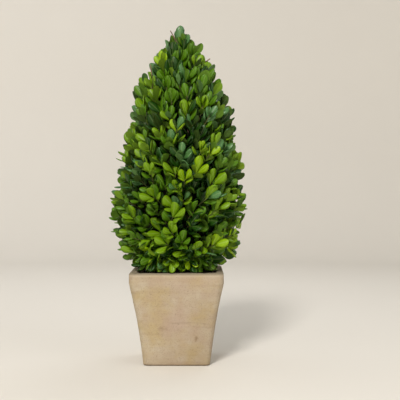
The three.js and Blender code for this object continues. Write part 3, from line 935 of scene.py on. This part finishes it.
def grow_leaves(shoots, f):
    """All leaves as arrays. A shoot's pairs stand a pair gap apart down its twig, closer at its
    tip and wider below, each a quarter turn from the last. A leaf leaves its twig at the spread,
    which opens by the same step for each lower pair, and its upper side turns to the light,
    between that and its natural way up. The lower pairs are darker, partly as older leaves and
    partly as painted shade of their depth in the crown."""
    rng = np.random.default_rng(SEEDS["leaves"])
    count = len(shoots["end"])
    direction = shoots["direction"]
    side = side_of(direction)
    third = np.cross(direction, side)
    length = f.leaf_length * shoots["size"]
    tip = shoots["end"] - direction * (np.cos(shoots["spread"]) * length)[:, None]
    first_turn = rng.random(count) * math.pi
    batches = []
    for pair in range(f.pairs):
        place = tip - direction * f.pair_gap * pair * (0.5 + 0.17 * pair)
        for half_turn in (0, math.pi):
            turn = first_turn + pair * math.pi / 2 + half_turn + rng.uniform(-0.3, 0.3, count)
            off = side * np.cos(turn)[:, None] + third * np.sin(turn)[:, None]
            opening = shoots["spread"] + f.open_per_pair * pair + rng.uniform(-0.16, 0.16, count)
            opening = np.minimum(opening, WIDEST_OPENING)[:, None]
            along = direction * np.cos(opening) + off * np.sin(opening)
            natural = direction * np.sin(opening) - off * np.cos(opening)
            low_turned = mix(rng.uniform(0.35, 1, count), rng.uniform(0, 0.5, count), shoots["sunk"])
            turned = mix(low_turned, rng.uniform(0.7, 1, count), shoots["topped"])[:, None]
            facing = mix(natural, shoots["light"], turned) + rng.normal(0, 0.12, (count, 3))
            normal = unit(facing - along * (facing * along).sum(-1, keepdims=True))
            tint = shoots["tint"].copy()
            # The lower pairs are darker: partly older leaves, partly painted shade of their depth in
            # the crown
            if pair == 2:
                tint = np.where(tint < 2, tint + 1, tint)
            if pair > 2:
                tint = np.full(count, TINTS.index("deep"))
            # One leaf in five has a tint of its own
            swapped = rng.random(count) < 0.2
            tint = np.where(swapped, rng.integers(1, len(TINTS), count), tint)
            grown = rng.uniform(0.86, 1.1, count) * (0.9 if pair == 0 else 1)
            leaves = {"node": place, "along": along, "normal": normal, "length": length * grown}
            leaves["width"] = f.leaf_width * shoots["size"] * grown * rng.uniform(0.86, 1.16, count)
            leaves["belly"] = rng.uniform(1.15, 1.6, count)
            leaves["cup"] = rng.uniform(0.2, 0.6, count)
            leaves["curl"] = rng.uniform(-0.06, 0.2, count)
            batches.append(leaves | {"tint": tint, "pair": np.full(count, pair)})
    return {key: np.concatenate([b[key] for b in batches]) for key in batches[0]}


def rest_on_rim(points, scene):
    """Leaves that would sink past the rim lie on it instead: below the lowest height that a
    leaf may have, only a twentieth of the depth is left."""
    lowest = scene.topiary_planter.height + scene.topiary_crown.over_rim + FIT_GAP
    z = points[..., 2]
    points[..., 2] = np.where(z < lowest, lowest + 0.05 * (z - lowest), z)


def belongs(points, scene):
    """True for each leaf whose points all lie in the crown's own space, which is above the rim,
    under the tip, within the stray of the outline and clear of the stem, and which isn't lost
    inside the massed inner shade."""
    p, c, s = scene.topiary_planter, scene.topiary_crown, scene.topiary_stem
    z = points[..., 2]
    turn = np.arctan2(points[..., 1], points[..., 0])
    from_middle = np.hypot(points[..., 0] - lean_at(z, c), points[..., 1])
    outline = outline_radius(z, c)
    reach = np.minimum(outline + swell_at(turn, z) + c.stray, c.furthest)
    skirt = np.where(z < p.height + c.skirt_height, skirt_reach(turn, c), 0)
    in_stem = (z < stem_foot(scene) + s.height) & (from_middle < s.foot_radius * 1.8)
    out = (z < p.height + c.over_rim) | (z > c.total_height + OVER_TIP) | in_stem
    out |= from_middle > np.maximum(reach, skirt)
    in_shade = from_middle < outline - c.shade_depth - BEHIND_SHADE
    return ~out.any(-1) & ~in_shade.all(-1)


def make_leaf_pieces(scene, shoots):
    """One piece for each tint. The outer pairs of leaves have the finer grid."""
    f = scene.topiary_foliage
    leaves = grow_leaves(shoots, f)
    fine = ([0.12, 0.34, 0.54, 0.72, 0.87, 0.965], [-1, -0.6, -0.09, 0.09, 0.6, 1])
    plain = ([0.14, 0.42, 0.7, 0.93], [-1, 0, 1])
    parts = {name: [] for name in TINTS}
    for outer, (rows, across) in ((True, fine), (False, plain)):
        chosen = (leaves["pair"] < f.fine_pairs) == outer
        batch = {key: value[chosen] for key, value in leaves.items()}
        s, v, under, faces, kinds = leaf_grid(rows, across)
        points = leaf_surface(s, v, under, batch, f.leaf_thickness)
        rest_on_rim(points, scene)
        kept = belongs(points, scene)
        for tint, name in enumerate(TINTS):
            own = points[kept & (batch["tint"] == tint)]
            made = sum(len(part[0]) for part in parts[name])
            first = made + np.arange(len(own))[:, None, None] * len(s)
            own_faces = np.where(faces < 0, -1, faces + first).reshape(-1, 4)
            parts[name].append((own.reshape(-1, 3), own_faces, np.tile(kinds, len(own))))
    for name, pieces in parts.items():
        points, faces, kinds = (np.concatenate(part) for part in zip(*pieces))
        materials = leaf_materials(name, getattr(f, name))
        look = {"kinds": kinds, "flat": kinds == 1}
        make_piece(f"leaves_{name}", points, faces, materials, "leaves", "crown", **look)


class TOPIARY_OT_leaves(bpy.types.Operator):
    """Make the leaves of all shoots, joined into one piece for each tint"""

    bl_idname = "topiary.leaves"
    bl_label = "Leaves"

    def execute(self, context):
        scene = context.scene
        make_leaf_pieces(scene, grow_shoots(scene.topiary_crown, scene.topiary_foliage))
        return {"FINISHED"}


def bough_paths(scene, rows):
    """The limbs inside the crown, as points of shape (boughs, rows, 3). The first is the leader,
    which runs on from the stem's tip to the crown's. The others leave it a golden angle apart
    for places under the outline, outwards as 1.25 t - 0.25 t^2 and upwards as t^1.6."""
    c, s, f = scene.topiary_crown, scene.topiary_stem, scene.topiary_foliage
    t = np.linspace(0, 1, rows)
    foot = np.array([s.lean, 0, stem_foot(scene) + s.height - 0.006])
    top = np.array([c.lean, 0, c.total_height - 0.05])
    leader = mix(foot, top, t[:, None])
    n = f.bough_count
    share = even_shares(n, c)
    turn = np.arange(n) * GOLDEN_ANGLE + 0.8
    place = outline_at(share, c) - outward_at(share, c) * (c.shade_depth + BEHIND_SHADE)
    end = spokes(turn) * place[:, :1] + UP * place[:, 1:]
    start_z = np.clip(end[:, 2] - 0.9 * place[:, 0], foot[2] + 0.004, top[2] - 0.02)
    start = np.stack([lean_at(start_z, c), 0 * start_z, start_z], -1)
    out, up = (end - start) * (1, 1, 0), (end - start) * (0, 0, 1)
    bend = t[None, :, None]
    boughs = start[:, None] + out[:, None] * (1.25 * bend - 0.25 * bend**2) + up[:, None] * bend**1.6
    return np.concatenate([leader[None], boughs])


def twig_paths(shoots, boughs, f, rows):
    """The shoots' twigs, as points of shape (shoots, rows, 3): a cubic curve that starts at the
    nearest point of a bough and ends straight, along the shoot's own direction."""
    tip = shoots["end"] - shoots["direction"] * (f.leaf_length * 0.8 * shoots["size"])[:, None]
    back = tip - shoots["direction"] * f.pair_gap * f.pairs
    nodes = boughs[:, 2:].reshape(-1, 3)
    apart = np.linalg.norm(back[:, None] - nodes[None], axis=-1)
    root = nodes[apart.argmin(1)]
    reach = np.linalg.norm(tip - root, axis=-1, keepdims=True)
    first = root + (UP * 0.3 + unit(back - root)) * reach * 0.25
    second = tip - shoots["direction"] * reach * 0.55
    t = np.linspace(0, 1, rows)[None, :, None]
    shares = ((1 - t) ** 3, 3 * (1 - t) ** 2 * t, 3 * (1 - t) * t**2, t**3)
    return sum(share * point[:, None] for share, point in zip(shares, (root, first, second, tip)))


class TOPIARY_OT_twigs(bpy.types.Operator):
    """Make the boughs inside the crown, the twigs that carry the leaves, and three bare stubs
    that the shears left"""

    bl_idname = "topiary.twigs"
    bl_label = "Boughs and twigs"

    def execute(self, context):
        scene = context.scene
        c, s, f = scene.topiary_crown, scene.topiary_stem, scene.topiary_foliage
        shoots = grow_shoots(c, f)
        rows = 9
        boughs = bough_paths(scene, rows)
        thickness = np.concatenate([[s.tip_radius], np.full(len(boughs) - 1, BOUGH_RADIUS)])
        radii = thickness[:, None] * np.linspace(1, 0.42, rows)[None]
        sideways = np.tile([0.2, 0.97, 0.1], (len(boughs), 1))
        points, faces = tubes(boughs, radii, 8, sideways)
        make_piece("boughs_bark", points, faces, [bark_material(s)], "bark", "crown")

        paths = twig_paths(shoots, boughs, f, rows)
        radii = f.twig_radius * np.broadcast_to(np.linspace(1.25, 0.7, rows), paths.shape[:2])
        sides = 5
        points, faces = tubes(paths, radii, sides, side_of(shoots["direction"]))
        # Each twig is barked for five rows, then green up to its tip; its two ends come last
        green = [row >= 5 for row in range(rows - 1)] + [False, True]
        kinds = np.tile(np.repeat(green, sides), len(paths))
        materials = [bark_material(s), shoot_material(s)]
        make_piece("twigs", points, faces, materials, "bark", "crown", kinds=kinds)
        make_stubs(scene)
        return {"FINISHED"}


def make_stubs(scene):
    """Three bare twig ends, cut square, that stand out of the outline near the tip. Each runs
    from inside the foliage to its end."""
    s = scene.topiary_stem
    ends = np.array([[-0.0115, -0.012, 0.5505], [0.0545, -0.006, 0.505], [-0.0445, -0.012, 0.494]])
    direction = unit(np.array([[-0.55, -0.1, 1.0], [0.75, -0.1, 0.6], [-0.1, -0.1, 1.0]]))
    t = np.linspace(0, 1, 6)[None, :, None]
    sag = UP * 0.003 * t * (1 - t)
    paths = ends[:, None] - direction[:, None] * 0.045 * (1 - t) + sag
    radii = np.broadcast_to(np.linspace(1.3, 0.9, 6) * MM, paths.shape[:2])
    points, faces = tubes(paths, radii, 6, side_of(direction))
    make_piece("cut_stubs", points, faces, [bark_material(s)], "bark", "crown")


class TOPIARY_OT_shade(bpy.types.Operator):
    """Make the massed inner foliage: the outline drawn in by the depth that the light reaches,
    turned round the axis and lumpy"""

    bl_idname = "topiary.shade"
    bl_label = "Inner foliage"

    def execute(self, context):
        scene = context.scene
        p, c = scene.topiary_planter, scene.topiary_crown
        bottom = p.height - 0.006
        z = np.linspace(bottom, c.total_height - 0.03, 120)
        least, least_below, dome = 0.008, 0.054, 0.03
        radius = np.maximum(outline_radius(z, c) - c.shade_depth, least)
        radius = np.where(z < c.widest_height, np.maximum(radius, least_below), radius)
        radius = radius * np.sqrt(np.clip((z[-1] + 0.004 - z) / dome, 0, 1))
        out = spokes(full_turn(140))
        middle = np.stack([lean_at(z, c), 0 * z, z], -1)
        rings = middle[:, None] + out * radius[:, None, None]
        lumps = 0.005 * noise(rings, 0.016, 31) + 0.003 * noise(rings, 0.007, 32)
        rings = rings + out * (lumps * smoothstep(radius, 0, 0.01)[:, None])[..., None]
        points, faces = skin(rings, (0, 0, bottom), (c.lean, 0, z[-1] + 0.002))
        make_piece("inner_foliage", points, faces, [shade_material(c)], "leaves", "crown")
        return {"FINISHED"}


# Stage


class TOPIARY_OT_stage(bpy.types.Operator):
    """Make the pale floor that sweeps up into a wall all round, the soft lights and the camera"""

    bl_idname = "topiary.stage"
    bl_label = "Stage"

    def execute(self, context):
        scene = context.scene
        g = scene.topiary_stage
        bend = np.linspace(0, math.pi / 2, 24)
        flat = np.linspace(0.1, g.floor_radius, 20)[:-1]
        upright = np.linspace(g.sweep_radius, g.wall_height, 7)[1:]
        wall_radius = g.floor_radius + g.sweep_radius
        curve = g.floor_radius + g.sweep_radius * np.sin(bend)
        radius = np.concatenate([flat, curve, np.full(len(upright), wall_radius)])
        z = np.concatenate([0 * flat, g.sweep_radius * (1 - np.cos(bend)), upright])
        around = 96
        rings = spokes(full_turn(around)) * radius[:, None, None] + UP * z[:, None, None]
        points, faces = skin(rings, (0, 0, 0), (0, 0, 0))
        faces = faces[:-around]  # the room is open at the top
        inward = np.where(faces[:, 3:] < 0, faces[:, [0, 2, 1, 3]], faces[:, [0, 3, 2, 1]])
        mesh = bpy.data.meshes.new("floor_sweep")
        corners = [[i for i in face if i >= 0] for face in inward.tolist()]
        mesh.from_pydata(points[:-1].tolist(), [], corners)
        mesh.polygons.foreach_set("use_smooth", np.ones(len(mesh.polygons), bool))
        mesh.materials.append(paper_material(g))
        floor = bpy.data.objects.new("floor_sweep", mesh)
        scene.collection.objects.link(floor)

        # Each softbox: its place, what it is turned to, its width, its power and its tone
        plant = (0, 0, 0.3)
        for name, place, target, size, watts, tone in (
            ("key_softbox", (-0.55, -2.35, 2.1), plant, 0.6, g.key, "#FFFAF5"),
            ("fill_softbox", (1.5, -1.1, 0.8), plant, 1.0, g.fill, "#FBFBFF"),
            ("top_softbox", (0.5, 0.9, 1.7), plant, 0.9, g.rim, "#FAFCFF"),
            ("wall_softbox", (-0.8, 0.7, 1.9), (-1.0, 2.9, 0.5), 1.2, g.wash, "#FBFBFF"),
        ):
            data = bpy.data.lights.new(name, "AREA")
            data.shape = "SQUARE"
            data.size = size
            data.energy = watts
            data.color = linear(tone)
            light = bpy.data.objects.new(name, data)
            light.location = place
            direction = Vector(target) - Vector(place)
            light.rotation_euler = direction.to_track_quat("-Z", "Y").to_euler()
            scene.collection.objects.link(light)

        world = bpy.data.worlds.new("soft_room")
        world.use_nodes = True
        tree = world.node_tree
        tree.nodes.clear()
        glow = {"Color": rgba(linear("#F1EEE8")), "Strength": g.sky}
        glow = node(tree, "ShaderNodeBackground", glow).outputs[0]
        node(tree, "ShaderNodeOutputWorld", {"Surface": glow})
        scene.world = world

        lens = bpy.data.cameras.new("camera")
        lens.lens = g.lens
        lens.sensor_width = 36
        camera = bpy.data.objects.new("camera", lens)
        camera.location = (g.camera_side, -g.camera_back, g.camera_height)
        camera.rotation_euler = (math.pi / 2 - g.camera_pitch, 0, 0)
        scene.collection.objects.link(camera)
        scene.camera = camera
        scene.view_settings.view_transform = "Standard"
        return {"FINISHED"}


# Panel and registration

GROUPS = {
    "topiary_planter": PlanterSettings,
    "topiary_soil": SoilSettings,
    "topiary_stem": StemSettings,
    "topiary_crown": CrownSettings,
    "topiary_foliage": FoliageSettings,
    "topiary_stage": StageSettings,
}
OPERATORS = (
    TOPIARY_OT_stage,
    TOPIARY_OT_planter,
    TOPIARY_OT_soil,
    TOPIARY_OT_stem,
    TOPIARY_OT_shade,
    TOPIARY_OT_twigs,
    TOPIARY_OT_leaves,
)


class TOPIARY_PT_panel(bpy.types.Panel):
    """The topiary's pieces and their settings"""

    bl_idname = "TOPIARY_PT_panel"
    bl_label = "Topiary"
    bl_space_type = "VIEW_3D"
    bl_region_type = "UI"
    bl_category = "Topiary"

    def draw(self, context):
        for operator in OPERATORS:
            self.layout.operator(operator.bl_idname)
        for name, group in GROUPS.items():
            box = self.layout.box()
            for key in group.__annotations__:
                box.prop(getattr(context.scene, name), key)


CLASSES = (*GROUPS.values(), *OPERATORS, TOPIARY_PT_panel)


def register():
    for each in CLASSES:
        bpy.utils.register_class(each)
    for name, group in GROUPS.items():
        setattr(bpy.types.Scene, name, PointerProperty(type=group))


def unregister():
    for name in GROUPS:
        delattr(bpy.types.Scene, name)
    for each in reversed(CLASSES):
        bpy.utils.unregister_class(each)


def main():
    register()
    bpy.ops.topiary.stage()
    bpy.ops.topiary.planter()
    bpy.ops.topiary.soil()
    bpy.ops.topiary.stem()
    bpy.ops.topiary.shade()
    bpy.ops.topiary.twigs()
    bpy.ops.topiary.leaves()


if __name__ == "__main__":
    main()
